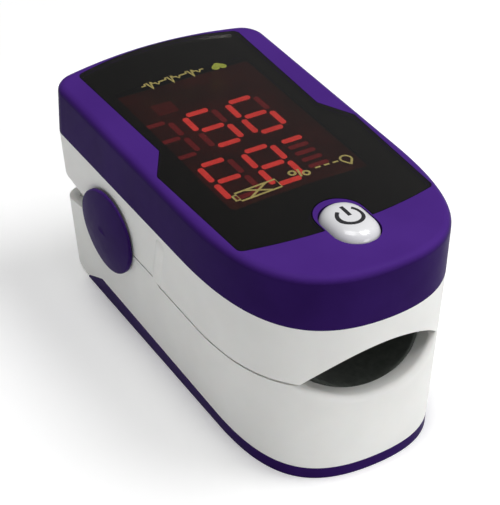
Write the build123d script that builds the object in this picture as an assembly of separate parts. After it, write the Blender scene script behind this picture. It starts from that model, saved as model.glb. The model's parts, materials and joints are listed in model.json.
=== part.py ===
from build123d import *
import os
from math import atan, cos, degrees, radians, sin, sqrt

# Fingertip pulse oximeter. Millimetres. The origin is at the centre of the underside, +Z is up,
# the finger goes in from -Y and the jaws are hinged near +Y.
os.makedirs("parts", exist_ok=True)

# ---- Body ----
LENGTH = 57.5
WIDTH = 31.5
BOTTOM_WIDTH = 26.6
FRONT = -LENGTH / 2
REAR = LENGTH / 2
COVER_TOP = 31.3            # crown of the cover, along its middle
CROWN_DROP = 0.8            # how much lower the long sides of the cover are
CROWN_RADIUS = (WIDTH**2 / 4 + CROWN_DROP**2) / (2 * CROWN_DROP)
BAND_Z = 23.5               # joint between the coloured cover and the white upper jaw
NOSE_TOP = -7.1             # where the straight side ends and the nose begins, at the cover
NOSE_BOTTOM = -12.9         # the same, at the underside
SQUARE_TOP = 0.705          # how square the nose is: 0.55 would be an ellipse
SQUARE_BOTTOM = 0.73
REAR_SAG = 1.4              # bulge of the rear edge
REAR_ROUND = 3.2
WALL = 1.4
TALL = 60.0                 # longer than any cut
EDGE_ROUND = 1.1

# ---- Jaw hinge ----
PIVOT_Y = 13.9
PIVOT_Z = 14.5
JAW_GAP = 0.3
HALF_GAP = JAW_GAP / 2
PIN_RADIUS = 1.2
RUNNING = 0.05
HUB_RADIUS = 3.0
EAR_FACES = (11.5, 12.8)    # inner and outer face of the lower jaw's hinge ears
TONGUE_RADIUS = 12.9        # the tongue's rear face is concentric with the pivot
TONGUE_TOP = 16.2
CAP_LONG = 7.55             # half axes of the oval hinge cap
CAP_SHORT = 5.95
CAP_TURN = -45.0            # the oval leans down towards the rear
CAP_SHIFT = (-0.8, 0.3)      # the oval's middle lies ahead of and above the pin
CAP_GAP = 0.3
CAP_THICKNESS = 0.95
CAP_DOME = 42.0
SPRING_RADIUS = 1.75
SPRING_WIRE = 0.3
SPRING_PITCH = 0.72
SPRING_FACES = (8.2, 11.1)
BEAM_Y = (20.0, 21.5)       # cross beam of the upper jaw that the springs push up
PARTING = 14.5

# ---- Finger tunnel ----
LIP_Z = 11.95               # lowest point of the lower jaw's lip
LIP_RADIUS = 17.5
ARCH_Z = 20.0               # highest point of the arch over the mouth
ARCH_RADIUS = 12.7
LOWER_RADIUS = 12.0         # finger trough of the lower pad
UPPER_RADIUS = 13.5
LOWER_SLOPE = 0.035         # the tunnel narrows towards the hinge
UPPER_SLOPE = 0.10
PAD_LOWER = 0.8
PAD_UPPER = 1.1
DECK = 0.5                  # plastic under the lower pad
SADDLE = 1.1                # plastic over the upper pad
MOUTH_DEPTH = 2.2           # thickness of the lip, front to back
LIP_ROUND = 0.75
TUNNEL_END = 4.5
SENSOR_Y = -8.0

# ---- Battery bay ----
CELL_RADIUS = 5.25
CELL_BODY = 43.6
NUB_RADIUS = 1.9
NUB_LENGTH = 0.9
CELL_X = 5.62
CELL_Z = 6.5
CELL_FRONT = -21.3
DOOR_PLATE = 0.9
DOOR_FRONT_Z = 1.6          # height of the coloured stripe at the nose
DOOR_SLOPE = 0.0266
DOOR_TOP_END = 18.05        # rear end of the stripe, at its upper edge
DOOR_END = 22.7             # rear end of the door on the underside
DOOR_GAP = 0.08

# ---- Side rib ----
RIB_RADIUS = 1.7
RIB_SUNK = 1.35
RIB_LOW_Y = 0.5
RIB_HIGH_Y = -1.6

# ---- Cover, window, button ----
ROOF = 2.4
WINDOW_THICKNESS = 1.2
WINDOW_GAP = 0.07
BUTTON_RADIUS = 3.1
BUTTON_LENGTH = 8.4
BUTTON_Y = -19.5
BUTTON_TOP = COVER_TOP + 1.1
BUTTON_TRAVEL = 0.5
BOARD_Z = 22.9
BOARD_THICKNESS = 1.0
BOARD_TOP = BOARD_Z + BOARD_THICKNESS
DISPLAY_TOP = 28.4
DISPLAY_LOW = (-10.9, -11.3)
DISPLAY_HIGH = (10.9, 21.3)
BOSSES = ((-10.5, -15.5), (10.5, -15.5), (-11.4, 23.6), (11.4, 23.6))

# ---- Display digits ----
DIGIT_WIDTH = 4.3           # between the centre lines of the upright segments
DIGIT_HEIGHT = 8.1          # between the centre lines of the top and bottom segments
STROKE = 0.95
SEGMENT_THICKNESS = 0.12
REAR_ROW = (9.0, (-8.2, -1.75, 4.7))
FRONT_ROW = (-1.95, (-5.9, 0.45))
BAR_X = 5.6
BAR_TOP = 1.7
BAR_PITCH = 1.57
BARS = 5

LEFT_RIGHT = (("left", -1), ("right", 1))


def save(name, shape):
    """Write one sub-part, as a compound of its solids."""
    solids = shape.solids()
    body = solids[0] if len(solids) == 1 else Compound(children=list(solids))
    body.label = name
    export_step(body, "parts/" + name + ".step")


def at_height(bottom, band, z):
    """A plan dimension at height z, changing evenly from the underside up to the cover."""
    return bottom + (band - bottom) * min(z, BAND_Z) / BAND_Z


def outline(z, inset=0.0):
    """Plan face of the body at height z: squared-off nose, straight sides, shallow rear arc."""
    half = at_height(BOTTOM_WIDTH, WIDTH, z) / 2 - inset
    start = at_height(NOSE_BOTTOM, NOSE_TOP, z)
    square = at_height(SQUARE_BOTTOM, SQUARE_TOP, z)
    front = FRONT + inset
    rear = REAR - inset
    corner = rear - REAR_SAG
    reach = start - square * (start - front)
    edges = [
        Bezier((half, start), (half, reach), (square * half, front), (0, front)),
        Bezier((0, front), (-square * half, front), (-half, reach), (-half, start)),
        Line((-half, start), (-half, corner)),
        ThreePointArc((-half, corner), (0, rear), (half, corner)),
        Line((half, corner), (half, start)),
    ]
    face = make_face(edges)
    back = face.vertices().sort_by(Axis.Y)[-2:]
    face = fillet(back, max(REAR_ROUND - inset, 0.8))
    return Pos(0, 0, z) * face


def body_block(low, high, inset=0.0):
    """The body's outer form between two heights, shrunk inwards by inset."""
    return loft([outline(low, inset), outline(high, inset)], ruled=True)


def side_prism(points, half_width=TALL / 2):
    """A side profile in Y and Z, drawn through the points and extended across the width."""
    face = make_face(Polyline(*[(0, y, z) for y, z in points], close=True))
    return extrude(face, amount=half_width, dir=(1, 0, 0), both=True)


def block(low, high):
    """A box from its lowest to its highest corner."""
    size = [b - a for a, b in zip(low, high)]
    return Pos(*[(a + b) / 2 for a, b in zip(low, high)]) * Box(*size)


def both_sides(solid):
    return solid + mirror(solid, about=Plane.YZ)


def x_rod(radius, low, high, y=PIVOT_Y, z=PIVOT_Z):
    """A cylinder along X between two X positions."""
    return Pos((low + high) / 2, y, z) * Rot(0, 90, 0) * Cylinder(radius, high - low)


def z_rod(radius, low, high, x=0.0, y=0.0):
    return Pos(x, y, (low + high) / 2) * Cylinder(radius, high - low)


def under_crown(drop=0.0):
    """Everything below the cover's crowned surface, lowered by drop."""
    radius = CROWN_RADIUS - drop
    return Pos(0, 0, COVER_TOP - CROWN_RADIUS) * Rot(90, 0, 0) * Cylinder(radius, 2 * LENGTH)


def pill(radius, length, low, high, y=BUTTON_Y):
    """An upright slot-shaped block, long in Y."""
    sketch = Rot(0, 0, 90) * SlotOverall(length, 2 * radius)
    return Pos(0, y, low) * extrude(sketch, amount=high - low)


def inclined_rod(radius, bottom, slope, start=FRONT - 2, end=TALL / 2):
    """A long round bar whose lowest line is at height bottom at the nose and rises with slope."""
    angle = degrees(atan(slope))
    rod = Rot(-90, 0, 0) * Cylinder(radius, 2 * TALL)
    return Pos(0, FRONT, bottom) * Rot(angle, 0, 0) * Pos(0, 0, radius) * rod


def lower_trough(grow=0.0):
    """The space over the lower pad's finger surface, grown outwards by grow."""
    return inclined_rod(LOWER_RADIUS + grow, LIP_Z - 0.2 - grow, LOWER_SLOPE)


def upper_trough(grow=0.0):
    """The space under the upper pad's finger surface, grown outwards by grow."""
    angle = degrees(atan(UPPER_SLOPE))
    rod = Rot(-90, 0, 0) * Cylinder(UPPER_RADIUS + grow, 2 * TALL)
    return Pos(0, FRONT, ARCH_Z + grow) * Rot(-angle, 0, 0) * Pos(0, 0, -UPPER_RADIUS - grow) * rod


def parting_points(offset):
    """The line between the jaws along the side, from the nose to the hinge."""
    heights = ((-35.0, 15.0), (-24.0, 14.8), (-17.5, 14.3), (-11.0, 14.0), (0.0, 14.15),
               (1.3, 14.8), (PIVOT_Y, 14.75))
    return [(y, z + offset) for y, z in heights]


def upper_side():
    """Side profile that the upper jaw fills: above the parting line, lifted behind the pivot."""
    return parting_points(HALF_GAP) + [(24.75, 16.5), (27.3, 17.0), (28.4, 17.7), (REAR + 2, 18.4),
                                       (REAR + 2, BAND_Z + 1), (-35, BAND_Z + 1)]


def lower_side():
    """Side profile that the lower jaw's outer wall fills."""
    door_line = [(DOOR_TOP_END, door_top(DOOR_TOP_END)), (-35, door_top(-35))]
    tail = [(PIVOT_Y + 2.0, 13.75), (22.7, 12.9), (27.2, 12.1), (REAR + 2, 11.6), (REAR + 2, 9.0),
            (28.6, 7.0), (28.1, 4.0), (27.2, 2.1), (25.9, 1.1), (24.3, 0.55), (DOOR_END + 0.2, 0.3)]
    return parting_points(-HALF_GAP) + tail + door_line


def door_top(y):
    """Height of the door's upper edge, which climbs gently towards the rear."""
    return DOOR_FRONT_Z + DOOR_SLOPE * (y - FRONT)


def window_face(grow=0.0):
    """Plan of the window: narrow rear part, wider front part, notch behind the button."""
    notch = 3.5 - grow
    notch_y = -17.6
    edges = []
    right = [(12.3, 26.3), (11.75, 5.3), (14.6, 0.8), (13.9, -17.2)]
    edges.append(ThreePointArc((-12.3, 26.3), (0, 27.75), (12.3, 26.3)))
    edges += [Line(a, b) for a, b in zip(right, right[1:])]
    edges.append(ThreePointArc((13.9, -17.2), (8.6, -18.6), (notch, -19.3)))
    edges.append(Line((notch, -19.3), (notch, notch_y)))
    edges.append(ThreePointArc((notch, notch_y), (0, notch_y + notch), (-notch, notch_y)))
    edges.append(Line((-notch, notch_y), (-notch, -19.3)))
    edges.append(ThreePointArc((-notch, -19.3), (-8.6, -18.6), (-13.9, -17.2)))
    left = [(-x, y) for x, y in reversed(right)]
    edges += [Line(a, b) for a, b in zip(left, left[1:])]
    face = make_face(edges)
    ends = [v for v in face.vertices() if abs(v.X) > 11 and (v.Y > 20 or v.Y < -10)]
    face = fillet(ends, 0.9)
    return offset(face, amount=grow) if grow else face


# ---- Cover, window and button ----
def upper_cover():
    shell = extrude(outline(BAND_Z), amount=TALL / 4) & under_crown()
    rim = [e for e in shell.edges() if e.bounding_box().min.Z > BAND_Z + 2]
    shell = fillet(rim, EDGE_ROUND)
    cavity = extrude(outline(BAND_Z, WALL), amount=TALL / 4) & under_crown(ROOF)
    shell -= cavity
    pocket = extrude(Pos(0, 0, BAND_Z) * window_face(WINDOW_GAP), amount=TALL / 4)
    shell -= pocket - under_crown(WINDOW_THICKNESS + 0.02)
    shell -= block((-11.2, -12.0, BAND_Z), (11.2, 22.0, COVER_TOP + 1))
    shell -= pill(BUTTON_RADIUS + 0.12, BUTTON_LENGTH + 0.24, BAND_Z, COVER_TOP + 1)
    clips = Part()
    for y in (-6.0, 19.0):
        clips += both_sides(block((13.3, y - 2.5, BAND_Z - 1.8), (14.0, y + 2.5, BAND_Z))
                            + block((13.3, y - 2.5, BAND_Z), (14.6, y + 2.5, BAND_Z + 1.5)))
    return shell + clips


def display_window():
    pane = extrude(Pos(0, 0, BAND_Z) * window_face(), amount=TALL / 4) & under_crown()
    return pane - under_crown(WINDOW_THICKNESS)


def power_button():
    cap = pill(BUTTON_RADIUS, BUTTON_LENGTH, COVER_TOP - ROOF - 1.3, BUTTON_TOP)
    cap = fillet(cap.faces().sort_by(Axis.Z)[-1].edges(), 1.25)
    flange = pill(BUTTON_RADIUS + 0.9, BUTTON_LENGTH + 1.8, COVER_TOP - ROOF - 1.3, COVER_TOP - ROOF - 0.4)
    stem = z_rod(1.6, BOARD_TOP + 2.7, COVER_TOP - ROOF - 1.0, y=BUTTON_Y)
    return cap + flange + stem


# ---- Upper jaw ----
def upper_shell():
    shell = body_block(PARTING - 0.6, BAND_Z) & side_prism(upper_side())
    saddle = upper_trough(PAD_UPPER + SADDLE) & block((-TALL, -TALL, 0), (TALL, TUNNEL_END + 2.0, TALL))
    shell -= body_block(10.0, BAND_Z + 0.5, WALL) - saddle
    shell -= upper_recess()
    nose = block((-TALL, -TALL, PARTING - 2), (TALL, FRONT + 6.5, TALL))
    shell -= Pos(0, FRONT, ARCH_Z - ARCH_RADIUS) * Rot(90, 0, 0) * Cylinder(ARCH_RADIUS, TALL) & nose
    wall_x = at_height(BOTTOM_WIDTH, WIDTH, PIVOT_Z) / 2
    shell += both_sides(x_rod(HUB_RADIUS, EAR_FACES[1] + 0.25, wall_x - 0.1))
    shell -= x_rod(PIN_RADIUS + RUNNING, -WIDTH, WIDTH)
    shell += block((-14.1, BEAM_Y[0], 19.0), (14.1, BEAM_Y[1], 20.2))
    shell += both_sides(side_rib())
    for x, y in BOSSES:
        shell += z_rod(1.5, BOARD_Z - 2.2, BOARD_Z, x, y) + boss_arm(x, y)
        shell -= z_rod(0.55, BOARD_Z - 2.0, BOARD_Z + 1, x, y)
    return shell - z_rod(3.2, 15.0, BOARD_Z, y=SENSOR_Y)


def upper_recess():
    """The pocket in the upper jaw that the upper pad fills."""
    span = block((-TALL, -TALL, 0), (TALL, TUNNEL_END + 0.6, TALL))
    return upper_trough(PAD_UPPER) & span & body_block(10.0, BAND_Z, WALL)


def side_rib():
    """The soft upright rib on each side that marks how far the finger goes in."""
    low, high = (RIB_LOW_Y, PARTING + 0.6), (RIB_HIGH_Y, BAND_Z - 1.6)
    ends = [(at_height(BOTTOM_WIDTH, WIDTH, z) / 2 - RIB_SUNK, y, z) for y, z in (low, high)]
    line = Line(*ends)
    rod = sweep(Plane(origin=line @ 0, z_dir=line % 0) * Circle(RIB_RADIUS), path=line)
    rod += Pos(*ends[1]) * Sphere(RIB_RADIUS)
    outside = body_block(PARTING, BAND_Z, -1.0) - body_block(PARTING - 1, BAND_Z + 1, WALL / 2)
    return rod & outside & side_prism(upper_side())


def boss_arm(x, y):
    """A short bracket that ties a screw boss to the side wall."""
    low, high = sorted((x, x * 14.3 / abs(x)))
    return block((low, y - 0.6, BOARD_Z - 2.2), (high, y + 0.6, BOARD_Z - 0.4))


def upper_finger_pad():
    pad = upper_recess() - upper_trough()
    pad &= block((-TALL, -TALL, 15.2), (TALL, TALL, TALL))
    return pad - z_rod(2.55, 14.0, BOARD_Z, y=SENSOR_Y)


def emitter_lens():
    return z_rod(2.5, 18.1, 19.5, y=SENSOR_Y)


def emitter_led():
    return block((-1.5, SENSOR_Y - 1.5, 19.5), (1.5, SENSOR_Y + 1.5, 20.4))


def emitter_board():
    return block((-2.6, SENSOR_Y - 1.7, 20.4), (2.6, SENSOR_Y + 1.7, 21.0))


def main_board():
    board = Pos(0, 0, BOARD_Z - BAND_Z) * extrude(outline(BAND_Z, WALL + 1.3), amount=BOARD_THICKNESS)
    board -= block((-WIDTH, REAR - 2.9, BOARD_Z - 1), (WIDTH, REAR, BAND_Z + 2))
    for x, y in BOSSES:
        board -= z_rod(0.75, BOARD_Z - 1, BOARD_TOP + 1, x, y)
    return board


def board_screws():
    screws = Part()
    for x, y in BOSSES:
        head = z_rod(1.15, BOARD_TOP, BOARD_TOP + 0.45, x, y)
        screws += head + z_rod(0.54, BOARD_Z - 1.9, BOARD_TOP, x, y)
    return screws


def controller_chip():
    return block((-3.5, -1.0, BOARD_Z - 1.2), (3.5, 6.0, BOARD_Z))


def driver_chip():
    return block((-9.5, 8.0, BOARD_Z - 1.2), (-5.5, 14.0, BOARD_Z))


def passive_parts():
    """Small capacitors and resistors in two rows under the board."""
    parts = Part()
    for row, x in enumerate((6.0, 8.5)):
        for step in range(4):
            y = 3.0 + 2.6 * step + 0.8 * row
            parts += block((x, y, BOARD_Z - 0.7), (x + 1.5, y + 0.9, BOARD_Z))
    return parts


def display_module():
    low = (*DISPLAY_LOW, BOARD_TOP)
    return block(low, (*DISPLAY_HIGH, DISPLAY_TOP))


def segment(length, x, y, upright):
    """One bar of a digit, with pointed ends."""
    half = length / 2
    tip = STROKE / 2
    points = [(-half, 0), (-half + tip, tip), (half - tip, tip), (half, 0), (half - tip, -tip), (-half + tip, -tip)]
    turned = [(x - b, y + a) if upright else (x + a, y + b) for a, b in points]
    bar = make_face(Polyline(*turned, close=True))
    return Pos(0, 0, DISPLAY_TOP) * extrude(bar, amount=SEGMENT_THICKNESS)


def digit(x, y):
    """Seven bars around the digit's centre."""
    bars = Part()
    gap = 0.16
    half = DIGIT_HEIGHT / 2
    for level in (-half, 0, half):
        bars += segment(DIGIT_WIDTH - gap, x, y + level, False)
    for side in (-DIGIT_WIDTH / 2, DIGIT_WIDTH / 2):
        for level in (-half / 2, half / 2):
            bars += segment(half - gap, x + side, y + level, True)
    return bars


def digit_segments():
    group = Part()
    for y, places in (REAR_ROW, FRONT_ROW):
        for x in places:
            group += digit(x, y)
    for step in range(BARS):
        group += segment(2.9, BAR_X, BAR_TOP - step * BAR_PITCH, False)
    return group


def tact_switch():
    case = block((-2.4, BUTTON_Y - 2.4, BOARD_TOP), (2.4, BUTTON_Y + 2.4, BOARD_TOP + 1.9))
    return case - z_rod(1.25, BOARD_TOP + 0.5, BOARD_TOP + 3, y=BUTTON_Y)


def switch_plunger():
    return z_rod(1.2, BOARD_TOP + 0.5 + BUTTON_TRAVEL + 0.1, BOARD_TOP + 2.7, y=BUTTON_Y)


# ---- Lower jaw ----
def lower_shell():
    outer = body_block(0.0, PARTING + 1.0) & side_prism(lower_side())
    inside = body_block(0.0, PARTING + 1.0, WALL)
    under_deck = lower_trough(PAD_LOWER + DECK)
    deck_end = TUNNEL_END + 2.0
    roof = block((-TALL, -TALL, 0), (TALL, deck_end, TALL))
    solid_top = (under_deck + block((-TALL, -TALL, 13.2), (TALL, deck_end, TALL))) & roof
    bay = inside - solid_top
    bulkhead = block((-TALL, CELL_FRONT - 1.3, -1), (TALL, CELL_FRONT - 0.6, TALL))
    floor = block((-TALL, DOOR_END + 0.05, -1), (TALL, TALL, 1.15))
    floor += block((-TALL, CELL_FRONT + CELL_BODY + NUB_LENGTH + 0.2, -1), (TALL, TALL, 2.4))
    shell = outer - (bay - bulkhead - floor)
    shell += tongue() + ears()
    shell -= lower_recess()
    shell -= mouth_cut()
    lip = [e for e in shell.edges() if e.bounding_box().min.Y < FRONT + 0.2
           and e.bounding_box().min.Z > LIP_Z - 0.1 and e.length > 3]
    shell = fillet(lip, LIP_ROUND)
    hub_space = x_rod(HUB_RADIUS + 0.3, EAR_FACES[1], WIDTH)
    shell -= both_sides(hub_space)
    shell -= x_rod(PIN_RADIUS, -WIDTH, WIDTH)
    shell += both_sides(block((8.2, 19.8, 11.2), (13.0, 21.2, 11.9)))
    return shell - z_rod(1.75, 8.0, PARTING, y=SENSOR_Y)


def mouth_cut():
    """The finger bowl's lip, cut through the nose wall only."""
    bowl = Pos(0, FRONT, LIP_Z + LIP_RADIUS) * Rot(90, 0, 0) * Cylinder(LIP_RADIUS, TALL)
    nose = block((-TALL, -TALL, 5), (TALL, FRONT + 7, PARTING + 2))
    return (bowl & nose) - body_block(5.0, PARTING + 2, MOUTH_DEPTH)


def lower_recess():
    """The pocket in the lower jaw that the lower pad fills."""
    span = block((-9.8, -TALL, 0), (9.8, TUNNEL_END + 0.6, TALL))
    form = lower_trough(PAD_LOWER) + block((-TALL, -TALL, 13.8), (TALL, TALL, TALL))
    return form & span & body_block(5.0, PARTING + 2, MOUTH_DEPTH)


def lower_finger_pad():
    pad = lower_recess() - lower_trough()
    pad &= block((-TALL, -TALL, 0), (TALL, TALL, 14.55)) & side_prism(parting_points(-HALF_GAP) + [
        (PIVOT_Y, 0), (-35, 0)])
    return pad - z_rod(1.75, 8.0, PARTING, y=SENSOR_Y)


def tongue():
    """The inset wall behind the hinge that closes the squeeze notch from inside."""
    high = body_block(9.5, TONGUE_TOP, WALL + 0.35) - body_block(9.5, TONGUE_TOP, WALL + 1.55)
    foot = body_block(9.5, 11.8, WALL - 0.1) - body_block(9.5, 11.8, WALL + 1.0)
    rear = block((-TALL, PIVOT_Y + 3.3, 0), (TALL, TALL, TALL))
    return ((high & x_rod(TONGUE_RADIUS, -WIDTH, WIDTH)) + foot) & rear


def ears():
    """The two hinge plates that rise inside the upper jaw."""
    inner, outer = EAR_FACES
    plate = block((inner, PIVOT_Y - 3.4, 6.0), (outer, PIVOT_Y + 3.4, PIVOT_Z))
    plate += x_rod(3.4, inner, outer)
    foot = block((inner, PIVOT_Y - 3.4, 6.0), (13.4, PIVOT_Y + 3.4, 10.2))
    return both_sides(plate + foot)


def detector_lens():
    return z_rod(1.7, 11.75, 12.6, y=SENSOR_Y)


def photodiode():
    return block((-1.2, SENSOR_Y - 1.5, 10.95), (1.2, SENSOR_Y + 1.5, 11.75)) & z_rod(1.7, 10, 12, y=SENSOR_Y)


def detector_board():
    return block((-1.4, SENSOR_Y - 2.5, 10.55), (1.4, SENSOR_Y + 2.5, 10.95))


def battery_door():
    low = body_block(0.0, 4.0) & side_prism([(-35, -1), (-35, door_top(-35) - DOOR_GAP),
        (DOOR_TOP_END, door_top(DOOR_TOP_END) - DOOR_GAP), (DOOR_END, 0.25), (DOOR_END, -1)])
    tray = body_block(0.0, 4.5, WALL) & block((-TALL, -TALL, DOOR_PLATE), (TALL, TALL, TALL))
    door = low - tray
    for step in range(5):
        y = 12.0 + 1.6 * step
        door -= block((-6.0, y, -1), (6.0, y + 0.8, 0.25))
    return door


def battery(side):
    """One AAA cell; the two lie head to tail."""
    x = CELL_X * side
    nub_first = side < 0
    front = CELL_FRONT + (NUB_LENGTH if nub_first else 0)
    nub_low = CELL_FRONT if nub_first else CELL_FRONT + CELL_BODY
    cell = y_rod(CELL_RADIUS, front, front + CELL_BODY, x)
    cell = fillet(cell.edges(), 0.35)
    return cell + y_rod(NUB_RADIUS, nub_low, nub_low + NUB_LENGTH + 0.0, x)


def y_rod(radius, low, high, x=0.0, z=CELL_Z):
    return Pos(x, (low + high) / 2, z) * Rot(90, 0, 0) * Cylinder(radius, high - low)


def bridge_contact():
    return block((-9.0, CELL_FRONT - 0.6, 3.0), (9.0, CELL_FRONT, 9.6))


def rear_contacts():
    back = CELL_FRONT + CELL_BODY + NUB_LENGTH + 2.7
    plates = Part()
    for x in (-CELL_X, CELL_X):
        plates += block((x - 2.5, back, 3.2), (x + 2.5, back + 0.4, 9.4))
    return plates


def contact_springs():
    """A conical coil behind each cell."""
    wire = 0.25
    start = CELL_FRONT + CELL_BODY + NUB_LENGTH + wire + 0.02
    length = 2.7 - 2 * wire - 0.04
    path = Helix(pitch=length / 3, height=length, radius=1.5, cone_angle=28)
    coil = sweep(Plane(origin=path @ 0, z_dir=path % 0) * Circle(wire), path=path, is_frenet=True)
    coil = Pos(0, start, CELL_Z) * Rot(-90, 0, 0) * coil
    return Pos(-CELL_X, 0, 0) * coil + Pos(CELL_X, 0, 0) * coil


# ---- Hinge ----
def hinge_pin():
    return x_rod(PIN_RADIUS, SPRING_FACES[0] - 0.2, 14.6)


def hinge_cap():
    wall_x = at_height(BOTTOM_WIDTH, WIDTH, PIVOT_Z) / 2
    lean = atan((WIDTH - BOTTOM_WIDTH) / 2 / BAND_Z)
    plane = Plane(origin=(wall_x, PIVOT_Y, PIVOT_Z), x_dir=(0, 1, 0), z_dir=(cos(lean), 0, -sin(lean)))
    oval = Pos(*CAP_SHIFT, 0) * Rot(0, 0, CAP_TURN) * Ellipse(CAP_LONG, CAP_SHORT)
    body = Pos(0, 0, CAP_GAP) * extrude(oval, amount=CAP_THICKNESS)
    body &= Pos(*CAP_SHIFT, CAP_GAP + CAP_THICKNESS - CAP_DOME) * Sphere(CAP_DOME)
    rim = [e for e in body.edges() if e.bounding_box().min.Z > CAP_GAP + 0.05 and e.length > CAP_LONG * 4]
    body = fillet(rim, 0.25)
    post = x_rod(1.0, 14.6, wall_x + CAP_GAP + 0.4)
    return plane * body + post


def torsion_spring():
    """A coil round the hinge pin with two legs that spread the jaws' rear ends."""
    low, high = SPRING_FACES
    turns = 3.5
    length = SPRING_PITCH * turns
    path = Helix(pitch=SPRING_PITCH, height=length, radius=SPRING_RADIUS)
    coil = sweep(Plane(origin=path @ 0, z_dir=path % 0) * Circle(SPRING_WIRE), path=path, is_frenet=True)
    reach = BEAM_Y[0] - PIVOT_Y + 0.6
    leg = Rot(90, 0, 0) * Cylinder(SPRING_WIRE, reach)
    first = Pos(SPRING_RADIUS, reach / 2, 0) * leg
    last = Pos(-SPRING_RADIUS, reach / 2, length) * leg
    spring = coil + first + last
    return Pos(low + 0.4, PIVOT_Y, PIVOT_Z) * Rot(0, 90, 0) * spring


def jaw_cable():
    """Flat ribbon from the detector, past the hinge, up to the main board."""
    path = [(SENSOR_Y + 3.0, 10.95), (8.0, 10.95), (12.4, 15.0), (12.4, BOARD_Z)]
    thick = 0.25
    upper = [(y, z) for y, z in path]
    lower = [(12.4 + thick, BOARD_Z), (12.4 + thick, 15.0 - thick / 2), (8.0 + thick / 2, 10.95 - thick),
             (SENSOR_Y + 3.0, 10.95 - thick)]
    return side_prism(upper + lower, 1.4)


SINGLE_PARTS = (upper_cover, display_window, power_button, switch_plunger, upper_shell, upper_finger_pad,
                emitter_lens, emitter_led, emitter_board, main_board, board_screws, controller_chip,
                driver_chip, passive_parts, display_module, digit_segments, tact_switch,
                lower_shell, lower_finger_pad, detector_lens, photodiode, detector_board,
                battery_door, bridge_contact, rear_contacts, contact_springs, jaw_cable)
PAIRED_PARTS = (hinge_pin, hinge_cap, torsion_spring)

for make in SINGLE_PARTS:
    save(make.__name__, make())
for make in PAIRED_PARTS:
    shape = make()
    save(make.__name__ + "_right", shape)
    save(make.__name__ + "_left", mirror(shape, about=Plane.YZ))
for name, side in LEFT_RIGHT:
    save("battery_" + name, battery(side))
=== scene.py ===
import json
import math

import bmesh
import bpy
from mathutils import Matrix, Vector

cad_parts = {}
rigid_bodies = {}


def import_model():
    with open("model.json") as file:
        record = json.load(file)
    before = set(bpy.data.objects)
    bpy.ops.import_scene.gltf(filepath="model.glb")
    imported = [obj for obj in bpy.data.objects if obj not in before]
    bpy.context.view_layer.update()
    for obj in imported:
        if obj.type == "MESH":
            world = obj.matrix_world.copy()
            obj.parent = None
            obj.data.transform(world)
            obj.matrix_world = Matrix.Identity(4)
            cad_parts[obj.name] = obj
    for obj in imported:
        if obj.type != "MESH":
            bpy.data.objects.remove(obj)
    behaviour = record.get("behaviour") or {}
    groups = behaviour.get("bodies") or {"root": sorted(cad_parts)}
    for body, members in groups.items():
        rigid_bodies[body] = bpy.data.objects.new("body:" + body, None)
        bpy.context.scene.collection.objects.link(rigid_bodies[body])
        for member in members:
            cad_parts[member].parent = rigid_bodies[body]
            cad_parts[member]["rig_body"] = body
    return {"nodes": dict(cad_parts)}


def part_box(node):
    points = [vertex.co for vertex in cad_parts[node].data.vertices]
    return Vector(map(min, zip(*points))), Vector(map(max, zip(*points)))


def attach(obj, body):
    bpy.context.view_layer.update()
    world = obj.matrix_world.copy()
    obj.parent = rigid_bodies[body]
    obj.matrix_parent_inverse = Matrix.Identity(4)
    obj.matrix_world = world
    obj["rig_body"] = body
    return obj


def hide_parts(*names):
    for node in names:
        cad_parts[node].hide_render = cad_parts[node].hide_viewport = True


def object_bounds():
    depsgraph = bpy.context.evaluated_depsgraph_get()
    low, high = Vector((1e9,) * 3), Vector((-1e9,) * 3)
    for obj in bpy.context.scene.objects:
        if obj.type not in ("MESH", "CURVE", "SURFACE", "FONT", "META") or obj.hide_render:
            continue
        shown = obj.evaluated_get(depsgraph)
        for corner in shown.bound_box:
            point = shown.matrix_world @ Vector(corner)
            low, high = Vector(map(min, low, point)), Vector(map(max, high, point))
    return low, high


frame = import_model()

cad_low, cad_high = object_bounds()

# ---- Driving values, in metres ----
MM = 0.001
MODULE_LOW, MODULE_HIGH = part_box("display_module")
SEGMENT_LOW, SEGMENT_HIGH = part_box("digit_segments")
BUTTON_LOW, BUTTON_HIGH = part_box("power_button")
COVER_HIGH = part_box("upper_cover")[1]
PANE_THICKNESS = 1.2 * MM
HALF_WIDTH = COVER_HIGH.x
CROWN_DROP = 0.8 * MM           # the cover is this much lower at its long sides
CROWN_RADIUS = (HALF_WIDTH**2 + CROWN_DROP**2) / (2 * CROWN_DROP)


# ---- Materials ----
def srgb(*levels):
    """Linear colour from display levels of 0 to 255."""
    out = []
    for level in levels:
        c = level / 255
        out.append(c / 12.92 if c <= 0.04045 else ((c + 0.055) / 1.055) ** 2.4)
    return (*out, 1.0)


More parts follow.
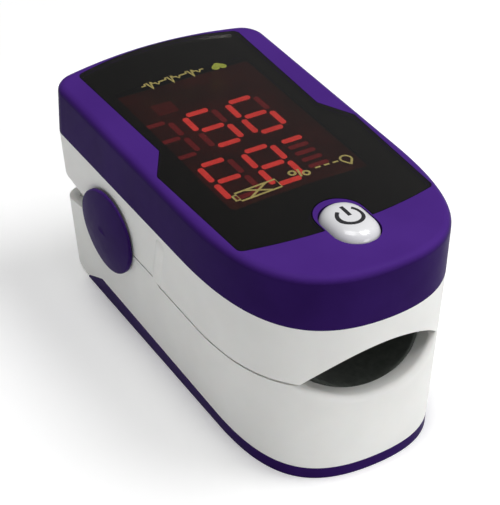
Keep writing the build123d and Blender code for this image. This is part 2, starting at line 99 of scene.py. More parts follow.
class Nodes:
    """A material's node tree, with a Principled shader already in it."""

    def __init__(self, name):
        self.material = bpy.data.materials.new(name)
        self.material.use_nodes = True
        self.tree = self.material.node_tree
        self.shader = self.tree.nodes["Principled BSDF"]
        self.place = self.add("ShaderNodeTexCoord").outputs["Object"]

    def add(self, kind, **values):
        node = self.tree.nodes.new(kind)
        for key, value in values.items():
            setattr(node, key, value)
        return node

    def link(self, out, into):
        self.tree.links.new(out, into)

    def set(self, **values):
        for key, value in values.items():
            self.shader.inputs[key.replace("_", " ")].default_value = value
        return self

    def noise(self, size, detail=2.0):
        """Noise whose grains are about size across, in metres."""
        node = self.add("ShaderNodeTexNoise")
        node.inputs["Scale"].default_value = 1 / size
        node.inputs["Detail"].default_value = detail
        self.link(self.place, node.inputs["Vector"])
        return node.outputs["Fac"]

    def ramp(self, fac, *stops):
        """A colour ramp through (position, colour) stops."""
        node = self.add("ShaderNodeValToRGB")
        elements = node.color_ramp.elements
        while len(elements) < len(stops):
            elements.new(0.5)
        for element, (position, colour) in zip(elements, stops):
            element.position = position
            element.color = colour
        self.link(fac, node.inputs["Fac"])
        return node.outputs["Color"]

    def span(self, fac, low, high, start=0.3, end=0.7):
        """fac, spread over the values from low to high."""
        node = self.add("ShaderNodeMapRange")
        for name, value in (("From Min", start), ("From Max", end), ("To Min", low), ("To Max", high)):
            node.inputs[name].default_value = value
        self.link(fac, node.inputs["Value"])
        return node.outputs["Result"]

    def bump(self, height, distance, strength=1.0, under=None):
        node = self.add("ShaderNodeBump")
        node.inputs["Distance"].default_value = distance
        node.inputs["Strength"].default_value = strength
        self.link(height, node.inputs["Height"])
        if under is not None:
            self.link(under, node.inputs["Normal"])
        return node.outputs["Normal"]

    def colour(self, out):
        self.link(out, self.shader.inputs["Base Color"])
        return self

    def rough(self, out):
        self.link(out, self.shader.inputs["Roughness"])
        return self

    def normal(self, out):
        self.link(out, self.shader.inputs["Normal"])
        return self

    def moulded_surface(self, low, high, grain=0.22 * MM, depth=0.004 * MM):
        """Uneven gloss, faint flow waves and the fine grain of a spark-eroded mould."""
        self.rough(self.span(self.noise(1.4 * MM, 4.0), low, high))
        waves = self.bump(self.noise(7 * MM, 1.0), 0.02 * MM, 0.35)
        self.normal(self.bump(self.noise(grain, 3.0), depth, 0.8, waves))


def moulded(name, dark, light, rough, grain=0.22 * MM, depth=0.004 * MM, **values):
    """Injection-moulded plastic whose tone drifts slowly."""
    m = Nodes(name)
    m.set(**values)
    m.colour(m.ramp(m.noise(9 * MM, 3.0), (0.3, dark), (0.7, light)))
    m.moulded_surface(rough - 0.04, rough + 0.05, grain, depth)
    return m.material


def purple_plastic():
    """Dull satin purple with painted light and shade: lighter on the faces that look up, darker on the
    upright faces.
    """
    m = Nodes("purple_plastic")
    m.set(Specular_IOR_Level=0.012)
    split = m.add("ShaderNodeSeparateXYZ")
    m.link(m.add("ShaderNodeTexCoord").outputs["Normal"], split.inputs["Vector"])
    # Painted light on the faces that look up and painted shade on the upright ones, mixed by the height of
    # the normal.
    painted_light_tone = m.ramp(m.noise(9 * MM, 3.0), (0.3, srgb(70, 38, 121)), (0.7, srgb(75, 42, 128)))
    painted_shade_tone = m.ramp(m.noise(7 * MM, 3.0), (0.3, srgb(42, 19, 80)), (0.7, srgb(47, 23, 88)))
    mix = m.add("ShaderNodeMix", data_type="RGBA")
    m.link(m.span(split.outputs["Z"], 0.0, 1.0, 0.15, 0.8), mix.inputs["Factor"])
    painted_shade_input, painted_light_input = (sock for sock in mix.inputs if sock.type == "RGBA")
    m.link(painted_shade_tone, painted_shade_input)
    m.link(painted_light_tone, painted_light_input)
    m.colour(next(sock for sock in mix.outputs if sock.type == "RGBA"))
    m.moulded_surface(0.34, 0.42)
    return m.material


def white_plastic():
    return moulded("white_plastic", srgb(231, 231, 228), srgb(238, 238, 235), 0.5, depth=0.006 * MM,
                   Specular_IOR_Level=0.4, Subsurface_Weight=0.04, Subsurface_Scale=0.6 * MM)


def button_plastic():
    return moulded("button_plastic", srgb(224, 224, 227), srgb(232, 232, 234), 0.2, depth=0.001 * MM,
                   Specular_IOR_Level=0.55, Coat_Weight=0.35, Coat_Roughness=0.08)


def smoked_acrylic():
    m = Nodes("smoked_acrylic")
    m.set(Transmission_Weight=1.0, IOR=1.49, Specular_IOR_Level=0.25)
    m.colour(m.ramp(m.noise(6 * MM, 2.0), (0.3, srgb(126, 122, 116)), (0.7, srgb(134, 130, 124))))
    m.rough(m.span(m.noise(2.2 * MM, 5.0), 0.03, 0.075))
    m.normal(m.bump(m.noise(11 * MM, 1.0), 0.02 * MM, 0.2))
    return m.material


def mask_ink():
    m = Nodes("mask_ink")
    m.colour(m.ramp(m.noise(0.5 * MM, 3.0), (0.3, srgb(24, 24, 19)), (0.7, srgb(30, 30, 24))))
    m.rough(m.span(m.noise(0.8 * MM, 3.0), 0.45, 0.6))
    return m.material


def glowing(name, dark, light, strength, grain=0.6 * MM):
    """A part of the display that gives off light, a little unevenly: the lit segments' own light, or
    painted light on the parts that are not lit.
    """
    m = Nodes(name)
    tone = m.ramp(m.noise(grain, 2.0), (0.3, dark), (0.7, light))
    m.colour(tone)
    m.link(tone, m.shader.inputs["Emission Color"])
    m.set(Emission_Strength=strength, Roughness=0.5)
    return m.material


def printed_ink(name, dark, light, strength=0.0):
    m = Nodes(name)
    tone = m.ramp(m.noise(0.3 * MM, 3.0), (0.3, dark), (0.7, light))
    m.colour(tone)
    m.rough(m.span(m.noise(0.6 * MM), 0.4, 0.55))
    # A strength above nought gives the print a glow of painted light.
    if strength:
        m.link(tone, m.shader.inputs["Emission Color"])
        m.set(Emission_Strength=strength)
    return m.material


def rubber():
    """Soft silicone with a fine matt bloom and tiny pores."""
    m = Nodes("pad_rubber")
    m.set(Specular_IOR_Level=0.3, Sheen_Weight=0.06, Sheen_Roughness=0.6)
    m.colour(m.ramp(m.noise(0.9 * MM, 5.0), (0.3, srgb(64, 68, 64)), (0.7, srgb(78, 83, 78))))
    m.rough(m.span(m.noise(0.5 * MM, 3.0), 0.55, 0.72))
    pores = m.add("ShaderNodeTexVoronoi")
    pores.inputs["Scale"].default_value = 1 / (0.32 * MM)
    m.link(m.place, pores.inputs["Vector"])
    m.normal(m.bump(pores.outputs["Distance"], 0.012 * MM, 0.5))
    return m.material


def metal(name, dark, light, rough):
    m = Nodes(name)
    m.set(Metallic=1.0)
    m.colour(m.ramp(m.noise(0.7 * MM, 4.0), (0.3, dark), (0.7, light)))
    m.rough(m.span(m.noise(0.25 * MM, 4.0), rough - 0.07, rough + 0.1))
    m.normal(m.bump(m.noise(0.12 * MM, 2.0), 0.002 * MM, 0.6))
    return m.material


def lens_resin():
    m = Nodes("clear_lens")
    m.set(Transmission_Weight=0.85, IOR=1.46)
    m.colour(m.ramp(m.noise(1.0 * MM, 2.0), (0.3, srgb(222, 218, 205)), (0.7, srgb(236, 233, 224))))
    m.rough(m.span(m.noise(0.4 * MM, 3.0), 0.06, 0.2))
    return m.material


def circuit_board():
    """Solder mask over fine copper tracks that run along the board."""
    m = Nodes("board_green")
    tracks = m.add("ShaderNodeTexBrick")
    tracks.inputs["Scale"].default_value = 1 / (2.4 * MM)
    tracks.inputs["Mortar Size"].default_value = 0.035
    tracks.inputs["Color1"].default_value = srgb(16, 72, 44)
    tracks.inputs["Color2"].default_value = srgb(20, 82, 50)
    tracks.inputs["Mortar"].default_value = srgb(48, 122, 72)
    m.link(m.place, tracks.inputs["Vector"])
    m.colour(tracks.outputs["Color"])
    m.rough(m.span(m.noise(1.1 * MM), 0.3, 0.42))
    m.normal(m.bump(tracks.outputs["Fac"], 0.02 * MM, 0.5))
    return m.material


def cell_wrap():
    """Printed shrink sleeve: a dark band and a bright band along the cell."""
    m = Nodes("cell_wrap")
    split = m.add("ShaderNodeSeparateXYZ")
    m.link(m.place, split.inputs["Vector"])
    band = m.span(split.outputs["Y"], 0.0, 1.0, -0.022, 0.022)
    m.colour(m.ramp(band, (0.0, srgb(30, 32, 38)), (0.62, srgb(34, 36, 42)), (0.64, srgb(196, 148, 66)),
                    (1.0, srgb(204, 158, 74))))
    m.rough(m.span(m.noise(1.2 * MM, 4.0), 0.24, 0.36))
    m.normal(m.bump(m.noise(2.5 * MM, 3.0), 0.02 * MM, 0.5))
    m.set(Coat_Weight=0.4, Coat_Roughness=0.15)
    return m.material


def cable_film():
    m = Nodes("cable_film")
    lines = m.add("ShaderNodeTexWave", bands_direction="X")
    lines.inputs["Scale"].default_value = 1 / (2.0 * MM)
    m.link(m.place, lines.inputs["Vector"])
    m.colour(m.ramp(lines.outputs["Fac"], (0.35, srgb(150, 84, 26)), (0.6, srgb(206, 136, 62))))
    m.rough(m.span(m.noise(0.8 * MM), 0.3, 0.45))
    m.normal(m.bump(lines.outputs["Fac"], 0.03 * MM, 0.4))
    return m.material


PURPLE_PAINTED_SHADE = purple_plastic()
WHITE = white_plastic()
BUTTON = button_plastic()
PANE = smoked_acrylic()
MASK = mask_ink()
LIT = glowing("segment_lit", srgb(212, 58, 56), srgb(226, 68, 64), 2.9)
# The unlit segments, the signal block and the red film are given painted light: a glow that stands in for
# the light reaching them through the pane.
DIM_PAINTED_GLOW = glowing("segment_dim_painted_glow", srgb(104, 22, 28), srgb(118, 28, 33), 2.4)
SIGNAL_PAINTED_GLOW = glowing("signal_dim_painted_glow", srgb(84, 15, 18), srgb(98, 20, 22), 1.5, 1.5 * MM)
FILM_PAINTED_GLOW = glowing("display_film", srgb(50, 9, 8), srgb(78, 15, 12), 1.0, 7 * MM)
# The label and heart print glow as well: painted light on the print under the pane.
LABEL_PAINTED_GLOW = printed_ink("label_ink", srgb(186, 176, 112), srgb(202, 192, 124), 2.4)
HEART_PAINTED_GLOW = printed_ink("heart_ink", srgb(168, 182, 78), srgb(182, 196, 90), 2.5)
SYMBOL = printed_ink("symbol_ink", srgb(28, 28, 32), srgb(38, 38, 42))
RUBBER = rubber()
STEEL = metal("steel", srgb(178, 178, 182), srgb(214, 214, 218), 0.26)
SPRING_STEEL = metal("spring_steel", srgb(150, 150, 156), srgb(196, 196, 202), 0.3)
NICKEL = metal("nickel_contact", srgb(196, 190, 176), srgb(222, 216, 202), 0.22)
LENS = lens_resin()
BOARD = circuit_board()
WRAP = cell_wrap()
CABLE = cable_film()
CHIP = moulded("chip_black", srgb(26, 26, 28), srgb(34, 34, 36), 0.55, grain=0.08 * MM)
MODULE = moulded("display_black", srgb(20, 18, 18), srgb(27, 24, 24), 0.5)
CERAMIC = moulded("ceramic", srgb(140, 112, 84), srgb(170, 140, 108), 0.45, grain=0.1 * MM)
PACKAGE = moulded("sensor_package", srgb(206, 204, 196), srgb(222, 220, 212), 0.4, grain=0.1 * MM)
SILICON = moulded("photodiode_resin", srgb(26, 22, 34), srgb(38, 32, 50), 0.2, grain=0.1 * MM)

CAD_MATERIALS = {
    PURPLE_PAINTED_SHADE: ("upper_cover", "battery_door", "hinge_cap_left", "hinge_cap_right"),
    WHITE: ("upper_shell", "lower_shell"),
    PANE: ("display_window",),
    STEEL: ("hinge_pin_left", "hinge_pin_right", "board_screws"),
    SPRING_STEEL: ("torsion_spring_left", "torsion_spring_right", "contact_springs"),
    NICKEL: ("bridge_contact", "rear_contacts"),
    LENS: ("emitter_lens", "detector_lens"),
    BOARD: ("main_board", "emitter_board", "detector_board"),
    WRAP: ("battery_left", "battery_right"),
    CABLE: ("jaw_cable",),
    CHIP: ("controller_chip", "driver_chip", "tact_switch", "switch_plunger"),
    MODULE: ("display_module",),
    CERAMIC: ("passive_parts",),
    PACKAGE: ("emitter_led",),
    SILICON: ("photodiode",),
}


def dress_cad_nodes():
    for material, names in CAD_MATERIALS.items():
        for name in names:
            mesh = frame["nodes"][name].data
            mesh.materials.clear()
            mesh.materials.append(material)
    for name in ("hinge_cap_left", "hinge_cap_right"):
        even = frame["nodes"][name].modifiers.new("even_shading", "WEIGHTED_NORMAL")
        even.keep_sharp = True


# ---- Mesh helpers ----
def piece(name, verts, faces, material, body, smooth=True):
    mesh = bpy.data.meshes.new(name)
    mesh.from_pydata([tuple(v) for v in verts], [], faces)
    mesh.materials.append(material)
    mesh.validate()
    if smooth:
        mesh.shade_smooth()
    thing = bpy.data.objects.new(name, mesh)
    bpy.context.scene.collection.objects.link(thing)
    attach(thing, body)
    return thing


def crown(x, drop=0.0):
    """Height of the cover's crowned surface at x, lowered by drop."""
    return COVER_HIGH.z - CROWN_RADIUS + math.sqrt((CROWN_RADIUS - drop) ** 2 - x * x)


def rounded_box(low, high, radius, steps=6):
    """A rectangle's outline with round corners, anticlockwise."""
    points = []
    corners = ((high.x, high.y, 0), (low.x, high.y, 90), (low.x, low.y, 180), (high.x, low.y, 270))
    for x, y, start in corners:
        cx = x - math.copysign(radius, x - (low.x + high.x) / 2)
        cy = y - math.copysign(radius, y - (low.y + high.y) / 2)
        for i in range(steps + 1):
            a = math.radians(start + 90 * i / steps)
            points.append((cx + radius * math.cos(a), cy + radius * math.sin(a)))
    return points


def arc(start, middle, end, steps=20):
    """Points on the curve through three points, without the last one."""
    points = []
    for i in range(steps):
        t = i / steps
        weights = ((1 - t) * (1 - 2 * t), 4 * t * (1 - t), t * (2 * t - 1))
        points.append(tuple(sum(w * p[k] for w, p in zip(weights, (start, middle, end))) for k in (0, 1)))
    return points


class Relief:
    """Flat marks with a little thickness, gathered into one mesh."""

    def __init__(self, height, thickness):
        self.height, self.thickness = height, thickness
        self.verts, self.faces = [], []

    def slab(self, outline):
        """A closed slab over an outline of (x, y) points."""
        start, count = len(self.verts), len(outline)
        for lift in (0.0, self.thickness):
            self.verts += [(x, y, self.height(x, y) + lift) for x, y in outline]
        top = [start + count + i for i in range(count)]
        self.faces += [top, [start + i for i in reversed(range(count))]]
        for i in range(count):
            j = (i + 1) % count
            self.faces.append((start + i, start + j, start + count + j, start + count + i))

    def ribbon(self, line, width, closed=False):
        """A stroke of that width along a line of (x, y) points."""
        sides = ([], [])
        last = len(line) - 1
        for i, (x, y) in enumerate(line):
            before = line[i - 1] if i or closed else line[0]
            after = line[(i + 1) % (last + 1)] if i < last or closed else line[last]
            along = Vector((after[0] - before[0], after[1] - before[1])).normalized()
            for side, sign in zip(sides, (1, -1)):
                side.append((x - along.y * sign * width / 2, y + along.x * sign * width / 2))
        left, right = sides
        spans = range(last + 1 if closed else last)
        for i in spans:
            j = (i + 1) % (last + 1)
            self.slab([right[i], right[j], left[j], left[i]])

    def ring(self, x, y, radius, width, start=0.0, end=360.0, steps=40):
        turn = end - start
        whole = abs(turn) >= 360
        count = steps if whole else steps + 1
        angles = [math.radians(start + turn * i / steps) for i in range(count)]
        self.ribbon([(x + radius * math.cos(a), y + radius * math.sin(a)) for a in angles], width, whole)

    def make(self, name, material, body):
        return piece(name, self.verts, self.faces, material, body, smooth=False)


# ---- Display ----
DIGIT_WIDTH = 4.3 * MM
DIGIT_HEIGHT = 8.1 * MM
STROKE = 0.78 * MM
# which segments of a digit light up: top, upper left, upper right, middle, lower left, lower right, bottom
SEGMENTS = "tabmcdu"
DIGITS = (
    ((-8.2, 9.0), ""), ((-1.75, 9.0), "tamdu"), ((4.7, 9.0), "tamcdu"),
    ((-5.9, -1.95), "tamc"), ((0.45, -1.95), "tabmcdu"),
)
BAR_X = 5.6 * MM
BAR_TOP = 1.7 * MM
BAR_PITCH = 1.57 * MM
BAR_LENGTH = 2.9 * MM
BAR_COUNT = 5
FLAT_GAP = 1.15 * MM                # a segment across is this much shorter than the digit is wide
TALL_GAP = 0.82 * MM                # an upright one is this much shorter than half its height
SIGNAL_LOW = Vector((-6.4, 14.7)) * MM
SIGNAL_HIGH = Vector((-3.4, 17.3)) * MM


def segment_outline(x, y, length, upright):
    """A bar with blunt, rounded ends."""
    half, tip = length / 2, STROKE / 2
    end = [(half - 0.6 * tip, tip), (half - 0.2 * tip, 0.72 * tip), (half, 0.3 * tip)]
    right = end + [(a, -b) for a, b in end[::-1]]
    points = right + [(-a, -b) for a, b in right]
    if upright:
        points = [(-b, a) for a, b in points]
    return [(x + a, y + b) for a, b in points]


def display_segments():
    floor = MODULE_HIGH.z
    thickness = SEGMENT_HIGH.z - SEGMENT_LOW.z
    lit = Relief(lambda x, y: floor, thickness)
    dim = Relief(lambda x, y: floor, thickness * 0.5)
    half = DIGIT_HEIGHT / 2
    side = DIGIT_WIDTH / 2
    flat, tall = DIGIT_WIDTH - FLAT_GAP, half - TALL_GAP
    places = {"t": (0, half, flat, False), "m": (0, 0, flat, False), "u": (0, -half, flat, False),
              "a": (-side, half / 2, tall, True), "b": (side, half / 2, tall, True),
              "c": (-side, -half / 2, tall, True), "d": (side, -half / 2, tall, True)}
    for (x, y), on in DIGITS:
        for name in SEGMENTS:
            dx, dy, length, upright = places[name]
            outline = segment_outline(x * MM + dx, y * MM + dy, length, upright)
            (lit if name in on else dim).slab(outline)
    for step in range(BAR_COUNT):
        outline = segment_outline(BAR_X, BAR_TOP - step * BAR_PITCH, BAR_LENGTH, False)
        (dim if step else lit).slab(outline)
    # The signal block, with a faint glow of painted light.
    glow = Relief(lambda x, y: floor, thickness * 0.4)
    glow.slab(rounded_box(SIGNAL_LOW, SIGNAL_HIGH, 0.25 * MM))
    glow.make("signal_block", SIGNAL_PAINTED_GLOW, "upper_jaw")
    bright = lit.make("segments_lit", LIT, "upper_jaw")
    dim.make("segments_dim", DIM_PAINTED_GLOW, "upper_jaw")
    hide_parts("digit_segments")


# ---- Window print ----
PANE_DROP = PANE_THICKNESS + 0.004 * MM     # the print lies just under the pane
PRINT_THICKNESS = 0.008 * MM
ICON_LINE = 0.3 * MM
OPENING_LOW = Vector((-10.1, -9.6)) * MM    # clear part of the back print
OPENING_HIGH = Vector((9.9, 20.4)) * MM
PANE_SIDE = ((12.3, 26.3), (11.75, 5.3), (14.6, 0.8), (13.9, -17.2))    # right-hand corners, in mm
PANE_FRONT_MIDDLE = (8.6 * MM, -18.6 * MM)
PANE_FRONT_Y = -19.3 * MM
PANE_REAR_Y = 27.75 * MM
NOTCH_RADIUS = 3.5 * MM             # the window leaves room for the button
NOTCH_Y = -17.6 * MM
NOTCH_STEPS = 12
MASK_INSET = 0.3 * MM
OPENING_ROUND = 0.8 * MM
FILM_MARGIN = Vector((0.2, 0.2)) * MM
FILM_ROUND = 0.5 * MM
FILM_THICKNESS = 0.02 * MM


def under_pane(x, y):
    return crown(x, PANE_DROP + 2 * PRINT_THICKNESS)


def pane_outline(inset):
    """Plan of the window, pulled in at its edges."""
    side = [(x * MM - inset, y * MM) for x, y in PANE_SIDE]
    side[0] = (side[0][0], side[0][1] - inset)
    side[-1] = (side[-1][0], side[-1][1] + inset)
    notch, front_y = NOTCH_RADIUS + inset, PANE_FRONT_Y + inset
    middle = (PANE_FRONT_MIDDLE[0], PANE_FRONT_MIDDLE[1] + inset)
    half = side + arc(side[-1], middle, (notch, front_y))[1:] + [(notch, front_y)]
    for i in range(NOTCH_STEPS + 1):
        a = math.radians(90 * i / NOTCH_STEPS)
        half.append((notch * math.cos(a), NOTCH_Y + notch * math.sin(a)))
    rear = arc(side[0], (0.0, PANE_REAR_Y - inset), (-side[0][0], side[0][1]))[1:]
    return [(-x, y) for x, y in half[:-1]] + half[::-1] + rear


def window_mask():
    """The opaque print behind the pane's border, with a clear opening over the display."""
    bm = bmesh.new()
    for outline in (pane_outline(MASK_INSET), rounded_box(OPENING_LOW, OPENING_HIGH, OPENING_ROUND)):
        verts = [bm.verts.new((x, y, 0)) for x, y in outline]
        for a, b in zip(verts, verts[1:] + verts[:1]):
            bm.edges.new((a, b))
    bmesh.ops.triangle_fill(bm, use_beauty=True, edges=bm.edges[:])
    reach = int(HALF_WIDTH / MM)
    for step in range(-reach, reach + 1):
        shape = bm.verts[:] + bm.edges[:] + bm.faces[:]
        bmesh.ops.bisect_plane(bm, geom=shape, plane_co=(step * MM, 0, 0), plane_no=(1, 0, 0))
    bmesh.ops.recalc_face_normals(bm, faces=bm.faces[:])
    lower = bmesh.ops.extrude_face_region(bm, geom=bm.faces[:])
    below = {v for v in lower["geom"] if isinstance(v, bmesh.types.BMVert)}
    for v in bm.verts:
        v.co.z = crown(v.co.x, PANE_DROP + (PRINT_THICKNESS if v in below else 0))
    bmesh.ops.recalc_face_normals(bm, faces=bm.faces[:])
    mesh = bpy.data.meshes.new("window_mask")
    bm.to_mesh(mesh)
    bm.free()
    mesh.materials.append(MASK)
    mask = bpy.data.objects.new("window_mask", mesh)
    bpy.context.scene.collection.objects.link(mask)
    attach(mask, "upper_jaw")


def display_film():
    """The red filter on the display's face, glowing with painted light."""
    face = Relief(lambda x, y: MODULE_HIGH.z, FILM_THICKNESS)
    face.slab(rounded_box(MODULE_LOW.xy + FILM_MARGIN, MODULE_HIGH.xy - FILM_MARGIN, FILM_ROUND))
    face.make("display_film", FILM_PAINTED_GLOW, "upper_jaw")


def heart_outline(x, y, width, height):
    """A heart with its tip toward +Y, so that it reads upright from the rear."""
    points = []
    for i in range(36):
        a = 2 * math.pi * i / 36
        across = 16 * math.sin(a) ** 3
        along = 13 * math.cos(a) - 5 * math.cos(2 * a) - 2 * math.cos(3 * a) - math.cos(4 * a)
        points.append((x - across * width / 32, y - along * height / 29))
    return points


def pulse_trace(marks):
    """Three heartbeats in one line, which runs toward -X."""
    beat = ((0, 0), (0.5, 0), (0.8, 0.5), (1.1, 0), (1.4, 0), (1.6, -0.5), (1.9, 1.2), (2.3, -1.0),
            (2.6, 0), (3.1, 0))
    trace = []
    for start in (3.1, 0.0, -3.1):
        trace += [((start - u) * MM, (19.9 - v) * MM) for u, v in beat]
    marks.ribbon([p for i, p in enumerate(trace) if p != trace[i - 1]], ICON_LINE)


def droplet_outline(x, y, radius, steps=28):
    """A drop with its tip toward -Y."""
    points = []
    for i in range(steps):
        a = 2 * math.pi * i / steps
        sharp = max(0.0, -math.sin(a)) ** 3
        across = radius * math.cos(a) * (1 - 0.8 * sharp)
        points.append((x + across, y + radius * math.sin(a) - 0.5 * MM * sharp))
    return points


def percent_sign(marks):
    for x, y in ((1.75, -7.5), (0.15, -6.7)):
        marks.ring(x * MM, y * MM, 0.42 * MM, ICON_LINE, steps=20)
    marks.ribbon([(1.15 * MM, -6.3 * MM), (0.8 * MM, -7.9 * MM)], ICON_LINE)


def flat_battery(marks):
    """A cell's outline with its nub toward -X, crossed out."""
    left, right, low, high = -8.1 * MM, -2.4 * MM, -8.5 * MM, -6.75 * MM
    marks.ribbon([(left, low), (right, low), (right, high), (left, high)], ICON_LINE, closed=True)
    nub, shoulder = left - 0.55 * MM, 0.35 * MM
    marks.ribbon([(left, low + shoulder), (nub, low + shoulder), (nub, high - shoulder),
                  (left, high - shoulder)], ICON_LINE)
    middle, reach = (left + right) / 2, 1.6 * MM
    marks.ribbon([(middle - reach, low), (middle + reach, high)], ICON_LINE)
    marks.ribbon([(middle - reach, high), (middle + reach, low)], ICON_LINE)


def window_icons():
    """Heart and pulse trace at the rear. In front a droplet, dashes, a percent sign and a flat battery."""
    heart = Relief(under_pane, PRINT_THICKNESS)
    heart.slab(heart_outline(5.3 * MM, 19.6 * MM, 2.2 * MM, 1.9 * MM))
    heart.make("heart_icon", HEART_PAINTED_GLOW, "upper_jaw")

    marks = Relief(under_pane, PRINT_THICKNESS)
    pulse_trace(marks)
    marks.ribbon(droplet_outline(7.9 * MM, -7.1 * MM, 0.75 * MM), ICON_LINE, closed=True)
    for x in (6.3, 5.0, 3.7):
        marks.ribbon([((x - 0.4) * MM, -7.1 * MM), ((x + 0.4) * MM, -7.1 * MM)], ICON_LINE)
    percent_sign(marks)
    flat_battery(marks)
    marks.make("window_icons", LABEL_PAINTED_GLOW, "upper_jaw")


# ---- Power button ----
CAP_RADIUS = 3.1 * MM
FLANGE = 0.9 * MM
CAP_HALF = (BUTTON_HIGH.y - BUTTON_LOW.y) / 2 - CAP_RADIUS - FLANGE
CAP_Y = (BUTTON_LOW.y + BUTTON_HIGH.y) / 2
DOME_DEPTH = 2.0 * MM
STEM_RADIUS = 1.6 * MM
FLANGE_LOW = COVER_HIGH.z - 3.7 * MM
FLANGE_HIGH = COVER_HIGH.z - 2.8 * MM
DOME_LEVELS = 26
DOME_POWER, DOME_ROOT = 3.0, 2.3    # the dome's profile is a superellipse
SYMBOL_RADIUS = 1.58 * MM
SYMBOL_LINE = 0.5 * MM


def dome(distance):
    """Height of the cap at that distance from its middle line."""
    share = min(abs(distance) / CAP_RADIUS, 1.0)
    return BUTTON_HIGH.z - DOME_DEPTH + DOME_DEPTH * (1 - share**DOME_POWER) ** (1 / DOME_ROOT)


def cap_height(x, y):
    along = max(abs(y - CAP_Y) - CAP_HALF, 0.0)
    return dome(math.hypot(x, along)) + 0.004 * MM


def pill_ring(radius, half, z, steps=24):
    """A ring round the cap: two half circles, half apart from its centre."""
    ring = []
    for sign, start in ((1, 0), (-1, 180)):
        for i in range(steps + 1):
            a = math.radians(start + 180 * i / steps)
            ring.append((radius * math.cos(a), CAP_Y + sign * half + radius * math.sin(a), z))
    return ring


def power_button():
    wide = CAP_RADIUS + FLANGE
    rings = [pill_ring(STEM_RADIUS, 0.0, BUTTON_LOW.z), pill_ring(STEM_RADIUS, 0.0, FLANGE_LOW),
             pill_ring(wide, CAP_HALF, FLANGE_LOW), pill_ring(wide, CAP_HALF, FLANGE_HIGH),
             pill_ring(CAP_RADIUS, CAP_HALF, FLANGE_HIGH)]
    for k in range(DOME_LEVELS):
        radius = CAP_RADIUS * math.cos(math.radians(89.0 * k / (DOME_LEVELS - 1)))
        rings.append(pill_ring(radius, CAP_HALF, dome(radius)))
    count = len(rings[0])
    verts = [p for ring in rings for p in ring]
    faces = [list(reversed(range(count))), [len(verts) - count + i for i in range(count)]]
    for k in range(len(rings) - 1):
        for i in range(count):
            j = (i + 1) % count
            faces.append((k * count + i, k * count + j, (k + 1) * count + j, (k + 1) * count + i))
    cap = piece("button_cap", verts, faces, BUTTON, "button")
    cap.data.set_sharp_from_angle(angle=math.radians(40))
    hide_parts("power_button")

    symbol = Relief(cap_height, 0.012 * MM)
    middle = CAP_Y + 0.05 * MM
    symbol.ring(0.0, middle, SYMBOL_RADIUS, SYMBOL_LINE, start=128, end=412, steps=44)
    reach = [middle + 0.2 * MM * i for i in range(11)]
    symbol.ribbon([(0.0, y) for y in reach], SYMBOL_LINE)
    symbol.make("power_symbol", SYMBOL, "button")


# ---- Finger pads ----
PAD_CELL = 0.2 * MM
GROOVE_PITCH = 1.9 * MM
GROOVE_DEPTH = 0.14 * MM
GROOVE_SHARE = 0.16                 # half a groove's width, as a share of the pitch
GROOVE_REACH = 6 * MM               # grooves end this far from the middle
GROOVE_FADE = 2 * MM
GROOVE_FACING = 0.6                 # only where the pad faces the finger this squarely
FRONT_MARGIN = 5 * MM
REAR_MARGIN = 3 * MM


def softened_copy(source, name):
    """The node's mesh rebuilt in even cells and smoothed, so that its edges come out round."""
    blank = bpy.data.objects.new(name + "_blank", source.data.copy())
    bpy.context.scene.collection.objects.link(blank)
    cells = blank.modifiers.new("cells", "REMESH")
    cells.mode = "VOXEL"
    cells.voxel_size = PAD_CELL
    soften = blank.modifiers.new("soften", "SMOOTH")
    soften.factor = 0.5
    soften.iterations = 5
    graph = bpy.context.evaluated_depsgraph_get()
    mesh = bpy.data.meshes.new_from_object(blank.evaluated_get(graph))
    bpy.data.objects.remove(blank)
    mesh.name = name
    return mesh


def groove_depth(place, first, last):
    """Depth of the grip grooves, which run across the pad from first to last along Y."""
    phase = ((place.y - first) / GROOVE_PITCH) % 1.0
    dip = max(0.0, 1 - abs(phase - 0.5) / GROOVE_SHARE)
    ends = min((place.y - first) / GROOVE_FADE, (last - place.y) / GROOVE_FADE)
    sides = (GROOVE_REACH - abs(place.x)) / GROOVE_FADE
    return GROOVE_DEPTH * dip * dip * (3 - 2 * dip) * min(1.0, ends, sides)


def finger_pad(node, name, up):
    """A soft rubber cushion in the place of the plain one: round edges and shallow grip grooves."""
    source = frame["nodes"][node]
    mesh = softened_copy(source, name)
    low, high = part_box(node)
    first, last = low.y + FRONT_MARGIN, high.y - REAR_MARGIN
    places = []
    for v in mesh.vertices:
        place, normal = v.co.copy(), v.normal.copy()
        if normal.z * up > GROOVE_FACING and abs(place.x) < GROOVE_REACH and first < place.y < last:
            place -= normal * groove_depth(place, first, last)
        places.extend(place)
    mesh.vertices.foreach_set("co", places)
    mesh.update()
    mesh.materials.clear()
    mesh.materials.append(RUBBER)
    mesh.shade_smooth()
    pad = bpy.data.objects.new(name, mesh)
    bpy.context.scene.collection.objects.link(pad)
    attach(pad, source["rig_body"])
    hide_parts(node)


# ---- Camera, lights and floor ----
FLOOR_REACH = 1.5
FLOOR_GAP = 0.02 * MM
WORLD_DIM, WORLD_BRIGHT = 0.03, 0.24
# each light's name, place, width in metres and power in watts
LIGHTS = (
    ("key_light", (0.20, -0.10, 0.46), 0.26, 1.3),
    ("front_light", (0.16, -0.46, 0.14), 0.25, 0.42),
    ("top_light", (-0.10, 0.02, 0.5), 0.3, 1.0),
)


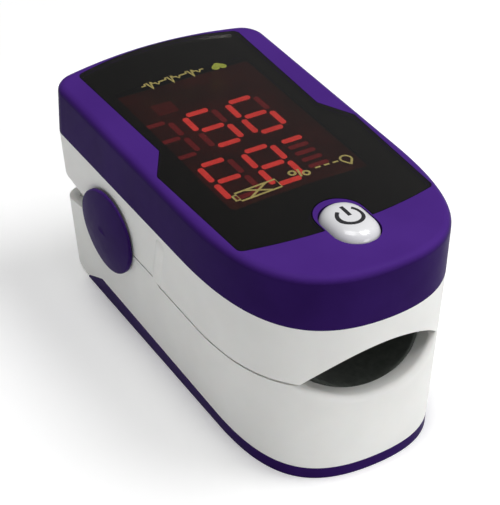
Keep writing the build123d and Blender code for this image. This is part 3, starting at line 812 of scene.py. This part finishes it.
def studio_world(scene):
    """A plain grey surround that is brighter to the right of the object."""
    world = bpy.data.worlds.new("studio_world")
    scene.world = world
    world.use_nodes = True
    tree = world.node_tree
    toward = tree.nodes.new("ShaderNodeTexCoord").outputs["Generated"]
    across = tree.nodes.new("ShaderNodeVectorMath")
    across.operation = "DOT_PRODUCT"
    across.inputs[1].default_value = (0.94, -0.34, 0.0)
    tree.links.new(toward, across.inputs[0])
    share = tree.nodes.new("ShaderNodeMapRange")
    ends = (("From Min", -0.7), ("From Max", 0.7), ("To Min", WORLD_DIM), ("To Max", WORLD_BRIGHT))
    for key, value in ends:
        share.inputs[key].default_value = value
    tree.links.new(across.outputs["Value"], share.inputs["Value"])
    tree.links.new(share.outputs["Result"], tree.nodes["Background"].inputs["Strength"])
    tree.nodes["Background"].inputs["Color"].default_value = (1.0, 1.0, 1.0, 1.0)


def studio_floor(scene):
    """Plain white paper that glows faintly, which keeps the shadow soft."""
    reach = FLOOR_REACH
    mesh = bpy.data.meshes.new("floor")
    corners = [(-reach, -reach, 0), (reach, -reach, 0), (reach, reach, 0), (-reach, reach, 0)]
    mesh.from_pydata(corners, [], [(0, 1, 2, 3)])
    floor = bpy.data.objects.new("floor", mesh)
    scene.collection.objects.link(floor)
    floor.location.z = cad_low.z - FLOOR_GAP
    paper = Nodes("floor_paper")
    tones = ((0.3, srgb(247, 247, 247)), (0.7, srgb(250, 250, 250)))
    paper.colour(paper.ramp(paper.noise(40 * MM, 2.0), *tones))
    paper.set(Roughness=0.85, Specular_IOR_Level=0.2)
    paper.set(Emission_Color=(1.0, 1.0, 1.0, 1.0), Emission_Strength=0.2)
    mesh.materials.append(paper.material)


def softbox(scene, name, place, width, power):
    """A round area light that faces the middle of the object."""
    light = bpy.data.lights.new(name, "AREA")
    light.shape = "DISK"
    light.size = width
    light.energy = power
    lamp = bpy.data.objects.new(name, light)
    scene.collection.objects.link(lamp)
    lamp.location = place
    middle = (cad_low + cad_high) / 2
    lamp.rotation_euler = (middle - Vector(place)).to_track_quat("-Z", "Y").to_euler()


def studio():
    scene = bpy.context.scene
    scene.view_settings.view_transform = "Standard"
    scene.view_settings.look = "None"
    studio_world(scene)
    studio_floor(scene)
    for name, place, width, power in LIGHTS:
        softbox(scene, name, place, width, power)


def camera():
    lens = bpy.data.cameras.new("camera")
    lens.sensor_width = 36.0
    lens.lens = 127.4
    lens.clip_start, lens.clip_end = 0.01, 10.0
    eye = bpy.data.objects.new("camera", lens)
    bpy.context.scene.collection.objects.link(eye)
    place = Vector((-103.08, -156.53, 154.42)) * MM
    right = Vector((0.85024, -0.52545, 0.03139))
    down = Vector((-0.29378, -0.52317, -0.79999))
    ahead = Vector((0.43678, 0.67096, -0.59919))
    turn = Matrix((right, -down, -ahead)).transposed()
    eye.matrix_world = Matrix.Translation(place) @ turn.to_4x4()
    bpy.context.scene.camera = eye


dress_cad_nodes()
display_segments()
display_film()
window_mask()
window_icons()
power_button()
finger_pad("lower_finger_pad", "lower_cushion", 1)
finger_pad("upper_finger_pad", "upper_cushion", -1)
studio()
camera()
